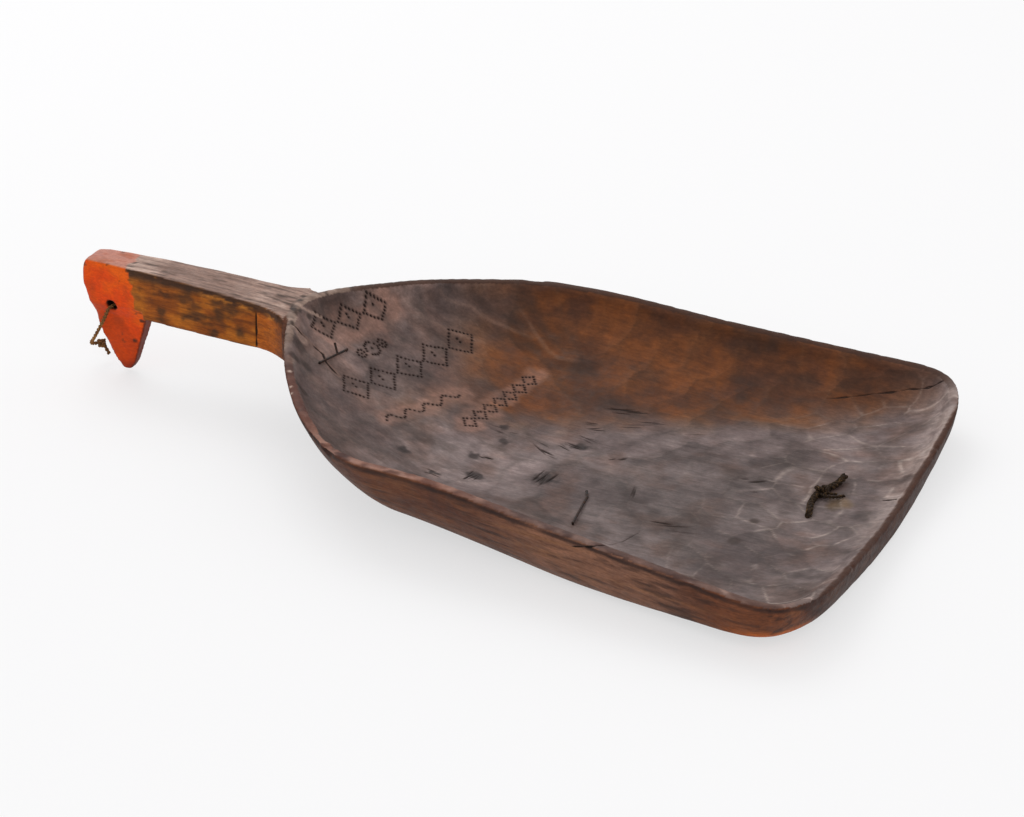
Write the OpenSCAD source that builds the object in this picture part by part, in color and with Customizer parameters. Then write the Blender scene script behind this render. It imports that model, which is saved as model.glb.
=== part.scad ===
// Feed scoop carved from one billet of wood: deep bowl, straight handle, hooked butt.
// Millimetres. +X runs from the hooked butt to the lip, +Z is up, z = 0 is the table.

/* [Part to show] */
// Sub-part to build

/* [Bowl plan] */
// Length of the bowl from its back to the lip
bowl_l = 446; // [380:1:520]
// Full width of the bowl where the rounded back ends
waist_w = 305; // [250:1:360]
// Full width of the bowl just behind the front corners
front_w = 351; // [290:1:400]
// Length taken by the rounded back
back_run = 133; // [100:1:170]
// Length taken by each front corner
corner_run = 46; // [30:1:80]
// Straight middle length of the lip
lip_flat_w = 164; // [100:1:220]
// Distance of the deepest point of the bowl behind the middle of its straight sides
belly_back = 50; // [20:1:80]

/* [Rim heights] */
// Rim height over the handle root
rim_back_z = 85; // [70:1:110]
// Rim height at the shoulder
rim_shoulder_z = 73; // [60:1:95]
// Rim height at the haunch
rim_haunch_z = 61; // [50:1:80]
// Rim height at the waist
rim_waist_z = 60; // [48:1:78]
// Rim height at the middle of the side
rim_mid_z = 52; // [42:1:70]
// Rim height ahead of the middle
rim_fore_z = 45; // [36:1:60]
// Rim height at the front corner
rim_corner_z = 38; // [30:1:50]
// Lip height beside the corner
lip_side_z = 27; // [22:1:36]
// Lip height in the middle
lip_mid_z = 21; // [18:1:28]

/* [Wall and floor] */
// Width of the flat band on top of the rim
rim_w = 7.5; // [6:0.5:12]
// Rounding of the rim edges
rim_round = 1.2; // [0.5:0.1:2]
// Thickness of the floor over the rest face
floor_t = 11; // [8:0.5:16]
// Underside lean-in at the back
lean_back = 90; // [74:1:104]
// Underside lean-in at the haunch
lean_haunch = 38; // [30:1:50]
// Underside lean-in at the sides
lean_side = 27; // [20:1:36]
// Underside lean-in at the front corner
lean_corner = 12; // [8:1:20]
// Underside lean-in at the lip
lean_lip = 1.5; // [1:0.5:5]
// Height of the lower outer edge at the back
chine_back_z = 20; // [12:1:28]
// Height of the lower outer edge at the haunch
chine_haunch_z = 17; // [12:1:22]
// Height of the lower outer edge at the sides
chine_side_z = 3; // [2:0.5:6]
// Height of the lower outer edge at the front corner
chine_corner_z = 10; // [5:0.5:12]
// Height of the lower outer edge at the lip
chine_lip_z = 4; // [2:0.5:6]
// Hollow run-down from the back
dish_back = 172; // [150:1:190]
// Hollow run-down from the haunch
dish_haunch = 128; // [110:1:150]
// Hollow run-down from the sides
dish_side = 94; // [75:1:120]
// Hollow run-down from the front corner
dish_corner = 76; // [60:1:100]
// Hollow run-down from the lip
dish_lip = 60; // [40:1:90]

/* [Handle] */
// Length of the handle from the butt to the back of the bowl
handle_l = 170; // [140:1:210]
// Height of the top face at the butt
butt_top_z = 90; // [80:1:105]
// Height of the top face in the middle
grip_top_z = 90; // [80:1:105]
// Height of the top face where it meets the bowl
root_top_z = 84; // [76:1:100]
// Depth of the grip from top face to underside
grip_h = 38; // [30:1:46]
// Depth of the handle where it meets the bowl
root_h = 34; // [28:1:44]
// Width of the handle at the butt
butt_w = 22; // [18:0.5:30]
// Width of the handle in the middle
grip_w = 28; // [22:0.5:36]
// Width of the handle where it meets the bowl
root_w = 36; // [30:0.5:42]
// Width of the flare into the back of the bowl
flare_w = 58; // [46:1:72]
// Length of the flare
flare_l = 24; // [12:1:40]

/* [Hook] */
// Length of the hooked butt along the underside
hook_l = 50; // [44:1:72]
// Height of the hook tip above the table
hook_tip_z = 3; // [2:0.5:20]
// Distance from the butt end to the hook tip
hook_tip_in = 29; // [26:1:44]
// Length of the blunt hook tip
hook_tip_w = 9; // [6:0.5:16]
// Thickness of the hook at its tip
hook_tip_t = 7; // [5:0.5:14]
// Thickness of the hook just below the grip
hook_neck_t = 13; // [9:0.5:20]
// Bulge of the butt edge
butt_bulge = 5; // [2:0.5:9]
// Rounding of the butt seen from above
butt_round = 3; // [1:0.5:8]

/* [Hang hole and loop] */
// Diameter of the hang hole
hole_d = 8; // [7:0.5:11]
// Distance from the butt end to the hole centre
hole_in = 24; // [20:0.5:30]
// Height of the hole centre above the table
hole_z = 57; // [52:0.5:64]
// Diameter of the twine
twine_d = 2.4; // [1.6:0.1:3]

/* [Mending wires and lace] */
// Diameter of the iron wire
wire_d = 1.6; // [1.2:0.1:2.4]
// Clearance of wire and lace in their holes
hole_clear = 0.3; // [0.2:0.05:0.5]
// Diameter of the lip lace
lace_d = 3.6; // [3:0.1:5]

/* [Hidden] */
$fn = 48;

overall_l = bowl_l + handle_l;
lip_x = overall_l / 2;
back_x = lip_x - bowl_l;
butt_x = -overall_l / 2;
waist_x = back_x + back_run;
fore_x = lip_x - corner_run;
centre = [(waist_x + fore_x) / 2 - belly_back, 0];

// Roundness of the plan and of the sections: 2 is a circle, more is squarer
apex_round = 1.42;
haunch_round = 1.68;
corner_round = 3;
outer_round = 1.4;

// Points around half of the plan, back to lip
back_n = 11;
side_n = 8;
corner_n = 9;
lip_n = 4;

back_pts = [for (i = [0 : back_n - 1])
  let (a = 90 * i / back_n, e = 2 / mix(apex_round, haunch_round, i / back_n))
  [waist_x - back_run * pow(cos(a), e), waist_w / 2 * pow(sin(a), e)]];
side_pts = [for (i = [0 : side_n - 1]) let (u = i / side_n)
  [waist_x + (fore_x - waist_x) * u,
   waist_w / 2 + (front_w - waist_w) / 2 * pow(u, 1.25)]];
corner_pts = [for (i = [0 : corner_n - 1]) let (a = 90 * i / corner_n)
  [fore_x + corner_run * pow(sin(a), 2 / corner_round),
   lip_flat_w / 2 + (front_w - lip_flat_w) / 2 * pow(cos(a), 2 / corner_round)]];
lip_pts = [for (i = [0 : lip_n]) [lip_x, lip_flat_w / 2 * (1 - i / lip_n)]];
half = concat(back_pts, side_pts, corner_pts, lip_pts);
last = len(half) - 1;
around = 2 * last;

function unit(v) = v / norm(v);
function mix(a, b, u) = a + (b - a) * u;
function run(i) = i == 0 ? 0 : run(i - 1) + norm(half[i] - half[i - 1]);
function mirrored(p) = [p[0], -p[1]];
function next_pt(i) = i == last ? mirrored(half[i - 1]) : half[i + 1];
function prev_pt(i) = i == 0 ? mirrored(half[1]) : half[i - 1];
function outward(i) = let (t = unit(next_pt(i) - prev_pt(i))) [-t[1], t[0]];
function smooth(a, b, c, d, u) =
  b + 0.5 * u * (c - a + u * (2 * a - 5 * b + 4 * c - d + u * (3 * (b - c) + d - a)));
// Value at one place from values spaced evenly around the rim, back to lip
function fold(v, i) = let (n = len(v) - 1) v[i < 0 ? -i : i > n ? 2 * n - i : i];
function along(v, f) = let (g = max(0, min(f, len(v) - 1.0001)), i = floor(g))
  smooth(fold(v, i - 1), fold(v, i), fold(v, i + 1), fold(v, i + 2), g - i);
whole_run = run(last);
place = [for (i = [0 : last]) run(i) / whole_run];
function at_pt(v, i) = along(v, place[i] * (len(v) - 1));
leans = [lean_back, lean_haunch, lean_side, lean_corner, lean_lip];
chines = [chine_back_z, chine_haunch_z, chine_side_z, chine_corner_z, chine_lip_z];
dishes = [dish_back, dish_haunch, dish_side, dish_corner, dish_lip];
dish_rounds = [1.5, 1.7, 2, 1.8, 1.5];

// Rim height by a smooth curve through the nine named heights
rim_z = [rim_back_z, rim_shoulder_z, rim_haunch_z, rim_waist_z, rim_mid_z,
         rim_fore_z, rim_corner_z, lip_side_z, lip_mid_z];
rim = [for (i = [0 : last]) at_pt(rim_z, i)];

// Outer wall: a = 0 at the rim, 90 at the lower outer edge
function outer_pt(i, a) = let (
    lean = at_pt(leans, i),
    foot = at_pt(chines, i),
    e = 2 / outer_round,
    p = half[i] + unit(centre - half[i]) * lean * (1 - pow(cos(a), e)))
  [p[0], p[1], foot + (rim[i] - rim_round - foot) * (1 - pow(sin(a), e))];

// Underside between the lower outer edge (s = 1) and the flat rest face
function under_pt(i, s, lift) = let (p = outer_pt(i, 90), q = mix(centre, [p[0], p[1]], s))
  [q[0], q[1], p[2] * lift];

// Rim band, d in from the outer edge and down from the top
function band_pt(i, d, down) = let (p = half[i] - outward(i) * d) [p[0], p[1], rim[i] - down];

// Hollow: a = 0 at the rim, 90 where the floor starts
function dish_pt(i, a) = let (
    p = half[i] - outward(i) * rim_w,
    reach = at_pt(dishes, i),
    e = 2 / at_pt(dish_rounds, i),
    q = p + unit(centre - p) * reach * (1 - pow(cos(a), e)))
  [q[0], q[1], floor_t + (rim[i] - rim_round - floor_t) * (1 - pow(sin(a), e))];
function floor_pt(i, s) = let (p = dish_pt(i, 90), q = mix(centre, [p[0], p[1]], s))
  [q[0], q[1], floor_t];

function ring(h) = concat(h, [for (i = [last - 1 : -1 : 1]) [h[i][0], -h[i][1], h[i][2]]]);
function half_of(kind, v) = [for (i = [0 : last])
  kind == 0 ? under_pt(i, v[0], v[1]) :
  kind == 1 ? outer_pt(i, v[0]) :
  kind == 2 ? band_pt(i, v[0], v[1]) :
  kind == 3 ? dish_pt(i, v[0]) : floor_pt(i, v[0])];

rest_share = 0.72;
steps = concat(
  [[0, [rest_share, 0]], [0, [0.86, 0.25]]],
  [for (a = [90 : -15 : 0]) [1, [a, 0]]],
  [[2, [rim_round, 0]], [2, [rim_w - rim_round, 0]]],
  [for (a = [0 : 11.25 : 90]) [3, [a, 0]]],
  [[4, [0.6, 0]]]);
rings = [for (s = steps) ring(half_of(s[0], s[1]))];
ring_n = len(rings);
bowl_pts = concat([for (r = rings) each r], [[centre[0], centre[1], floor_t]]);
bowl_faces = concat(
  [[for (k = [around - 1 : -1 : 0]) k]],
  [for (r = [0 : ring_n - 2]) for (k = [0 : around - 1])
    [r * around + k, r * around + (k + 1) % around, (r + 1) * around + (k + 1) % around]],
  [for (r = [0 : ring_n - 2]) for (k = [0 : around - 1])
    [r * around + k, (r + 1) * around + (k + 1) % around, (r + 1) * around + k]],
  [for (k = [0 : around - 1])
    [(ring_n - 1) * around + k, (ring_n - 1) * around + (k + 1) % around, ring_n * around]]);

module bowl() {
  polyhedron(points = bowl_pts, faces = bowl_faces, convexity = 6);
}

// Side profile of handle and hook, butt edge first
hook_x = butt_x + hook_l;
tip_x = butt_x + hook_tip_in;
grip_mid_x = butt_x + hook_l + 14;
under_z = grip_top_z - grip_h;
edge_low = [tip_x - hook_tip_w * 0.6, hook_tip_z + 3];
edge_high = [butt_x, butt_top_z - 9];
edge_out = let (t = unit(edge_high - edge_low)) [-t[1], t[0]];
edge_n = 10;
butt_edge = [for (i = [0 : edge_n]) let (u = i / edge_n)
  mix(edge_low, edge_high, u) + edge_out * butt_bulge * 4 * u * (1 - u)];
top_edge = [
  [butt_x + 0.8, butt_top_z - 4],
  [butt_x + 4, butt_top_z],
  [grip_mid_x, grip_top_z],
  [mix(grip_mid_x, back_x, 0.45), mix(grip_top_z, root_top_z, 0.35)],
  [back_x, root_top_z],
  [back_x + rim_w / 2, min(root_top_z, rim_back_z) - rim_round]];
root_in = dish_pt(0, 15);
root_deep = dish_pt(0, 30);
root_edge = [
  [root_in[0] - 4, root_in[2] - 4],
  [root_deep[0] - 6, root_deep[2] - 5],
  [root_deep[0] - 10, root_top_z - root_h],
  [back_x, root_top_z - root_h]];
hook_edge = [
  [hook_x + 4, under_z],
  [hook_x, under_z - 2],
  [tip_x + hook_tip_w * 0.75, hook_tip_z + 6],
  [tip_x + hook_tip_w * 0.35, hook_tip_z + 1],
  [tip_x - hook_tip_w * 0.1, hook_tip_z],
  [tip_x - hook_tip_w * 0.4, hook_tip_z + 0.8]];
handle_profile = concat(butt_edge, top_edge, root_edge, hook_edge);
flare_x = back_x - flare_l;
plan_side = concat(
  [for (a = [0 : 18 : 90])
    [butt_x + butt_round * (1 - cos(a)), butt_w / 2 - butt_round * (1 - sin(a))]],
  [[grip_mid_x, grip_w / 2]],
  [for (u = [0 : 0.2 : 1]) [mix(flare_x, back_x + 6, u), mix(root_w, flare_w, u * u) / 2]],
  [[root_deep[0], flare_w / 2]]);
handle_plan = concat(plan_side, [for (i = [len(plan_side) - 1 : -1 : 0]) mirrored(plan_side[i])]);
neck_z = under_z - 5;
taper_z = under_z + 6;
hook_front = [
  [-hook_tip_t / 2, hook_tip_z - 1], [hook_tip_t / 2, hook_tip_z - 1],
  [hook_neck_t / 2, neck_z], [butt_w / 2 + 1, taper_z], [butt_w, taper_z + 4],
  [butt_w, 2 * butt_top_z], [-butt_w, 2 * butt_top_z],
  [-butt_w, taper_z + 4], [-butt_w / 2 - 1, taper_z], [-hook_neck_t / 2, neck_z]];

module handle() {
  intersection() {
    rotate([90, 0, 0])
      linear_extrude(2 * flare_w, center = true)
        polygon(handle_profile);
    linear_extrude(2 * butt_top_z)
      polygon(handle_plan);
    union() {
      translate([butt_x - 5, 0, 0])
        rotate([90, 0, 90])
          linear_extrude(hook_l + 10)
            polygon(hook_front);
      translate([hook_x + 1, -flare_w, 0])
        cube([handle_l, 2 * flare_w, 2 * butt_top_z]);
    }
  }
}

// Frame that puts +Z along n at p
module at_point(p, n) {
  translate(p)
    rotate([0, acos(n[2]), atan2(n[1], n[0])])
      children();
}

// Mending wires: two ends on the hollow and the way up from the wood
wire_lift = wire_d / 2 + hole_clear;
leg_l = 5;
leg_hole_l = leg_l + 1;
back_end_a = mix(dish_pt(0, 22.5), dish_pt(0, 33.75), 0.7);
back_end_b = mirrored3(mix(dish_pt(2, 22.5), dish_pt(3, 22.5), 0.7));
back_up = unit(cross(dish_pt(0, 22.5) - dish_pt(0, 33.75), back_end_b - back_end_a));
floor_end_a = mirrored3(mix(dish_pt(15, 78.75), dish_pt(16, 78.75), 0.35));
floor_end_b = [floor_end_a[0] - 6, floor_end_a[1] + 37, floor_t];
floor_up = [0, 0, 1];
function mirrored3(p) = [p[0], -p[1], p[2]];

module wire(a, b) {
  at_point(a, unit(b - a))
    cylinder(h = norm(b - a), d = wire_d);
}

module bend(p) {
  translate(p)
    sphere(d = 1.2 * wire_d);
}

module stitch(a, b, up) {
  top_a = a + up * wire_lift;
  top_b = b + up * wire_lift;
  wire(a - up * leg_l, top_a);
  wire(b - up * leg_l, top_b);
  wire(top_a, top_b);
  bend(top_a);
  bend(top_b);
}

module loose_end(a, b) {
  wire(a, b);
  bend(b);
}

module leg_hole(p, up) {
  at_point(p - up * leg_hole_l, up)
    cylinder(h = leg_hole_l + 4, d = wire_d + 2 * hole_clear);
}

module back_stitch() {
  mid = mix(back_end_a, back_end_b, 0.35) + back_up * wire_lift;
  color("dimgray") {
    stitch(back_end_a, back_end_b, back_up);
    loose_end(mid, mid + [-3, 2, 6.5]);
  }
}

module floor_staple() {
  top_b = floor_end_b + floor_up * wire_lift;
  color("dimgray") {
    stitch(floor_end_a, floor_end_b, floor_up);
    loose_end(top_b, top_b + [-3, 6, 0.2]);
  }
}

// Cords: each route is chosen by hand and swept with a tube of eight sides
cord_sides = 8;
loop_plane = [0.88, 0, -0.47];
loop_route = [
  [-301, 7, 6], [-303, 6, 11], [-304, 4, 15.5], [-306, -3, 18],
  [-305, -9, 21.5], [-300, -13, 28], [-295, -14, 36], [-290, -14, 45],
  [-287, -14, 51], [-285, -12.8, 55], [-285, 0, 55], [-285, 12.8, 55],
  [-287, 14, 51], [-290, 14, 45], [-296, 14, 34], [-301, 12.5, 24], [-303.5, 9, 19]];
knot_at = 2;
lace_plane = [1, 0, 0];
lace_route = [
  [251, -13, 6], [251, -13, 11.5], [250.5, -9.5, 14.2], [248, -1, 14],
  [247, 9, 13.6], [248, 18, 13.8], [252, 26, 14], [255, 34, 14.2], [257, 42, 16]];
lace_knot_at = 5;

function route_pt(r, t) = let (n = len(r) - 1, i = min(floor(t), n - 1))
  smooth(r[max(i - 1, 0)], r[i], r[i + 1], r[min(i + 2, n)], t - i);
function route_dir(r, t) = let (n = len(r) - 1)
  unit(route_pt(r, min(t + 0.05, n)) - route_pt(r, max(t - 0.05, 0)));
function swell(t, at, more) = 1 + more * exp(-pow((t - at) / 0.45, 2));

module tube(r, d, plane, at, more) {
  n = len(r) - 1;
  ts = [for (t = [0 : 0.5 : n]) t];
  pts = [for (t = ts) let (
      along = route_dir(r, t),
      side = unit(plane - along * (plane * along)),
      up = cross(along, side),
      s = d / 2 * swell(t, at, more))
    for (k = [0 : cord_sides - 1]) let (a = 360 * k / cord_sides)
      route_pt(r, t) + (side * cos(a) + up * sin(a)) * s];
  m = cord_sides;
  faces = concat(
    [[for (k = [0 : m - 1]) k]],
    [for (i = [0 : len(ts) - 2]) for (k = [0 : m - 1])
      [i * m + k, (i + 1) * m + k, (i + 1) * m + (k + 1) % m]],
    [for (i = [0 : len(ts) - 2]) for (k = [0 : m - 1])
      [i * m + k, (i + 1) * m + (k + 1) % m, i * m + (k + 1) % m]],
    [[for (k = [m - 1 : -1 : 0]) (len(ts) - 1) * m + k]]);
  polyhedron(points = pts, faces = faces, convexity = 4);
}

module hang_loop() {
  color("tan")
    tube(loop_route, twine_d, loop_plane, knot_at, 1.6);
}

module lip_lacing() {
  color("saddlebrown")
    tube(lace_route, lace_d, lace_plane, lace_knot_at, 0);
}

module carved_scoop() {
  color("sienna")
    difference() {
      union() {
        bowl();
        handle();
      }
      translate([butt_x + hole_in, 0, hole_z])
        rotate([90, 0, 0])
          cylinder(h = 2 * butt_w, d = hole_d, center = true);
      translate(lace_route[0] - [0, 0, 1])
        cylinder(h = floor_t, d = lace_d + 2 * hole_clear);
      leg_hole(back_end_a, back_up);
      leg_hole(back_end_b, back_up);
      leg_hole(floor_end_a, floor_up);
      leg_hole(floor_end_b, floor_up);
    }
}

carved_scoop();
hang_loop();
lip_lacing();
back_stitch();
floor_staple();
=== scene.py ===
import math

import bmesh
import bpy
import numpy as np
from mathutils import Matrix, Vector
from mathutils.kdtree import KDTree


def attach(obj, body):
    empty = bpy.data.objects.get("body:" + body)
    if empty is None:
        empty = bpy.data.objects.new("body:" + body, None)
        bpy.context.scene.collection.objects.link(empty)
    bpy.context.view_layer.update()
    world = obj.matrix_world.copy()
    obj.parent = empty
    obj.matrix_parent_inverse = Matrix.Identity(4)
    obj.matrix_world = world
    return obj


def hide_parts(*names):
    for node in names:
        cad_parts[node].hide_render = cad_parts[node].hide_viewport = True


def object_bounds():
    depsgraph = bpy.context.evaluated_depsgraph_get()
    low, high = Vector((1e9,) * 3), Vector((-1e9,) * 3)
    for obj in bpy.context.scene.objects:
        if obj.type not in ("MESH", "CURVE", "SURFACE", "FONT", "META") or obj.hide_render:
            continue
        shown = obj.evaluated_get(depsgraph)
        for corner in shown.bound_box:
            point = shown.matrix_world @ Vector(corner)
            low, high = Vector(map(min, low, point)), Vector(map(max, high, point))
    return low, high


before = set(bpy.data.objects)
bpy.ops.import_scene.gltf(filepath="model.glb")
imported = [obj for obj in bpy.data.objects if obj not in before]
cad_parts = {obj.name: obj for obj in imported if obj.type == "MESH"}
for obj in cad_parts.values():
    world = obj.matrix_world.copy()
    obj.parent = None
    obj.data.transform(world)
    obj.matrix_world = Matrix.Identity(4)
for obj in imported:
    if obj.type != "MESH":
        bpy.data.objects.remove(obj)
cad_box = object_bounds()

MM = 0.001
scene = bpy.context.scene

# ---- sizes, mm
BOWL_L, WAIST_W, FRONT_W = 446, 305, 351
BACK_RUN, CORNER_RUN, LIP_FLAT_W, BELLY_BACK = 133, 46, 164, 50
RIM_Z = [85, 73, 61, 60, 52, 45, 38, 27, 21]
RIM_W, RIM_ROUND, FLOOR_T = 7.5, 1.2, 11
LEANS = [90, 38, 27, 12, 1.5]
CHINES = [20, 17, 3, 10, 4]
DISHES = [172, 128, 94, 76, 60]
DISH_ROUNDS = [1.5, 1.7, 2, 1.8, 1.5]
APEX_ROUND, HAUNCH_ROUND, CORNER_ROUND, OUTER_ROUND = 1.42, 1.68, 3, 1.4
REST_SHARE = 0.72

HANDLE_L, GRIP_TOP_Z, ROOT_TOP_Z, GRIP_H, ROOT_H = 170, 90, 84.8, 38, 34
BUTT_W, GRIP_W, ROOT_W, FLARE_W, FLARE_L = 22, 28, 36, 58, 24
HOOK_L, HOOK_TIP_Z, HOOK_TIP_IN, HOOK_TIP_W, HOOK_TIP_T, HOOK_NECK_T = 50, 3, 29, 9, 7, 13
BUTT_BULGE, BUTT_ROUND = 5, 3
HOLE_D, HOLE_IN, HOLE_Z = 8, 24, 57
ARRIS = 3.2

LIP_X = (BOWL_L + HANDLE_L) / 2
BACK_X = LIP_X - BOWL_L
BUTT_X = -LIP_X
WAIST_X = BACK_X + BACK_RUN
FORE_X = LIP_X - CORNER_RUN
CENTRE = np.array([(WAIST_X + FORE_X) / 2 - BELLY_BACK, 0.0])

TWINE_D, LACE_D = 2.4, 3.6
VOXEL = 1.3
FINE_REACH = 2.6
SMOOTH_ROUNDS, SOFT_ROUNDS = 10, 34

# Cord routes, as in part.scad
LOOP_ROUTE = [
    (-301, 7, 6), (-303, 6, 11), (-304, 4, 15.5), (-306, -3, 18),
    (-305, -9, 21.5), (-300, -13, 28), (-295, -14, 36), (-290, -14, 45),
    (-287, -14, 51), (-285, -12.8, 55), (-285, 0, 55), (-285, 12.8, 55),
    (-287, 14, 51), (-290, 14, 45), (-296, 14, 34), (-301, 12.5, 24), (-303.5, 9, 19)]
LACE_ROUTE = [
    (251, -13, 6), (251, -13, 11.5), (250.5, -9.5, 14.2), (248, -1, 14),
    (247, 9, 13.6), (248, 18, 13.8), (252, 26, 14), (255, 34, 14.2), (257, 42, 16)]


# ---- camera
# Place in metres, angles in degrees, lens and sensor in millimetres
CAMERA_PLACE = (0.8166, -1.6781, 1.0221)
CAMERA_AZIMUTH, CAMERA_ELEVATION, CAMERA_ROLL = 25.143, 27.989, -0.21
CAMERA_LENS, SENSOR_W = 107.36, 36


def aim_camera(place, azimuth, elevation, roll, lens):
    """A camera at place, in metres, that looks back along azimuth and elevation."""
    az, el, turn = (math.radians(v) for v in (azimuth, elevation, roll))
    back = Vector((math.sin(az) * math.cos(el), -math.cos(az) * math.cos(el), math.sin(el)))
    right = Vector((math.cos(az), math.sin(az), 0))
    up = back.cross(right)
    side = math.cos(turn) * right + math.sin(turn) * up
    top = -math.sin(turn) * right + math.cos(turn) * up
    data = bpy.data.cameras.new("camera")
    data.lens, data.sensor_width = lens, SENSOR_W
    cam = bpy.data.objects.new("camera", data)
    scene.collection.objects.link(cam)
    cam.matrix_world = Matrix.Translation(place) @ Matrix((side, top, back)).transposed().to_4x4()
    scene.camera = cam


aim_camera(CAMERA_PLACE, CAMERA_AZIMUTH, CAMERA_ELEVATION, CAMERA_ROLL, CAMERA_LENS)


# ---- small maths
def ease(low, high, v):
    """0 to 1, smoothly, as v runs from low to high. low may be the larger."""
    t = np.clip((v - low) / (high - low), 0, 1)
    return t * t * (3 - 2 * t)


def mix(a, b, t):
    """a to b by t, with t broadcast over colours."""
    t = np.asarray(t)
    if np.ndim(a) or np.ndim(b):
        a, b = np.atleast_2d(a), np.atleast_2d(b)
        if a.shape[-1] == 3 and t.ndim == 1:
            t = t[:, None]
    return a + (b - a) * t


def lattice(i, j, k, seed):
    """A fixed random number from 0 to 1 for each whole-number cell corner."""
    n = (i * 374761393 + j * 668265263 + k * 2147483647 + seed * 974634777) & 0xFFFFFFFF
    n = ((n ^ (n >> 13)) * 1274126177) & 0xFFFFFFFF
    n = ((n ^ (n >> 16)) * 2246822519) & 0xFFFFFFFF
    return ((n ^ (n >> 15)) & 0xFFFF) / 0xFFFF


def noise(p, size, seed):
    """Smooth noise from -1 to 1. size is the cell, one number or one per axis."""
    q = p / np.asarray(size, float)
    cell = np.floor(q).astype(np.int64)
    f = q - cell
    f = f * f * (3 - 2 * f)
    total = 0
    for dx in (0, 1):
        for dy in (0, 1):
            for dz in (0, 1):
                w = (np.abs(1 - dx - f[:, 0]) * np.abs(1 - dy - f[:, 1]) * np.abs(1 - dz - f[:, 2]))
                total = total + w * lattice(cell[:, 0] + dx, cell[:, 1] + dy, cell[:, 2] + dz, seed)
    return total * 2 - 1


def clouds(p, size, seed, octaves=3):
    """Layered noise, about -1 to 1."""
    total, share, scale = 0, 1.0, np.asarray(size, float)
    for k in range(octaves):
        total = total + share * noise(p, scale, seed + 17 * k)
        share, scale = share * 0.55, scale * 0.5
    return total / 1.4


def off_line(p, line):
    """Distance to a polyline, in plan if it is flat, and how far along it the nearest place is."""
    line = np.asarray(line, float)
    p = p[:, :line.shape[1]]
    best, where = np.full(len(p), 1e9), np.zeros(len(p))
    for n in range(len(line) - 1):
        a, d = line[n], line[n + 1] - line[n]
        t = np.clip(((p - a) @ d) / (d @ d), 0, 1)
        away = np.linalg.norm(p - a - t[:, None] * d, axis=1)
        near = away < best
        best, where = np.where(near, away, best), np.where(near, (n + t) / (len(line) - 1), where)
    return best, where


def linear(rgb):
    """Linear colour from one written 0 to 255."""
    c = np.asarray(rgb, float) / 255
    return np.where(c <= 0.04045, c / 12.92, ((c + 0.055) / 1.055) ** 2.4)


def curve_at(points, t):
    """Point on a smooth curve through points, at t counted in points."""
    n = len(points) - 1
    i = min(int(t), n - 1)
    a, b, c, d = (np.asarray(points[j], float) for j in
                  (max(i - 1, 0), i, i + 1, min(i + 2, n)))
    u = t - i
    return b + 0.5 * u * (c - a + u * (2 * a - 5 * b + 4 * c - d + u * (3 * (b - c) + d - a)))


# ---- bowl
def along(values, f):
    """Smooth value at f, counted in values, with the ends mirrored."""
    v = np.asarray(values, float)
    n = len(v) - 1
    g = np.clip(f, 0, n + 1 - 1.0001)
    i = np.floor(g).astype(int)
    a, b, c, d = (v[np.where(j < 0, -j, np.where(j > n, 2 * n - j, j))]
                  for j in (i - 1, i, i + 1, i + 2))
    u = g - i
    return b + 0.5 * u * (c - a + u * (2 * a - 5 * b + 4 * c - d + u * (3 * (b - c) + d - a)))


def unit(v):
    return v / np.linalg.norm(v, axis=1)[:, None]


class Bowl:
    """Half of the bowl's plan, back to lip, and its sections, as in part.scad."""

    def __init__(self, back_n=150, side_n=170, corner_n=70, lip_n=45):
        t = np.arange(back_n) / back_n
        a, e = np.pi / 2 * t, 2 / (APEX_ROUND + (HAUNCH_ROUND - APEX_ROUND) * t)
        back = np.c_[WAIST_X - BACK_RUN * np.cos(a) ** e, WAIST_W / 2 * np.sin(a) ** e]
        u = np.arange(side_n) / side_n
        side = np.c_[WAIST_X + (FORE_X - WAIST_X) * u,
                     WAIST_W / 2 + (FRONT_W - WAIST_W) / 2 * u ** 1.25]
        a, e = np.pi / 2 * np.arange(corner_n) / corner_n, 2 / CORNER_ROUND
        corner = np.c_[FORE_X + CORNER_RUN * np.sin(a) ** e,
                       LIP_FLAT_W / 2 + (FRONT_W - LIP_FLAT_W) / 2 * np.cos(a) ** e]
        lip = np.c_[np.full(lip_n + 1, LIP_X),
                    LIP_FLAT_W / 2 * (1 - np.arange(lip_n + 1) / lip_n)]
        self.half = half = np.concatenate([back, side, corner, lip])
        step = np.linalg.norm(np.diff(half, axis=0), axis=1)
        self.place = np.r_[0, np.cumsum(step)] / step.sum()
        ahead, behind = np.roll(half, -1, 0), np.roll(half, 1, 0)
        ahead[-1], behind[0] = half[-2] * (1, -1), half[1] * (1, -1)
        tangent = unit(ahead - behind)
        self.out = np.c_[-tangent[:, 1], tangent[:, 0]]
        self.rim = self.at(RIM_Z)

    def at(self, values):
        return along(values, self.place * (len(values) - 1))

    def section(self, edge, a, e, reach, foot):
        """Where each section has come to at angle a, from its edge down to its foot."""
        p = edge + unit(CENTRE - edge) * (reach * (1 - np.cos(a) ** e))[:, None]
        return np.c_[p, foot + (self.rim - RIM_ROUND - foot) * (1 - np.sin(a) ** e)]

    def outer(self, a):
        return self.section(self.half, a, 2 / OUTER_ROUND, self.at(LEANS), self.at(CHINES))

    def under(self, s, lift):
        p = self.outer(np.pi / 2)
        return np.c_[CENTRE + (p[:, :2] - CENTRE) * s, p[:, 2] * lift]

    def band(self, inset, down):
        return np.c_[self.half - self.out * inset, self.rim - down]

    def dish(self, a):
        edge = self.half - self.out * RIM_W
        return self.section(edge, a, 2 / self.at(DISH_ROUNDS), self.at(DISHES), FLOOR_T)

    def floor(self, s):
        p = self.dish(np.pi / 2)
        return np.c_[CENTRE + (p[:, :2] - CENTRE) * s, np.full(len(p), FLOOR_T)]


UNDER, OUTER, BAND, HOLLOW, HANDLE = range(5)


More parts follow.
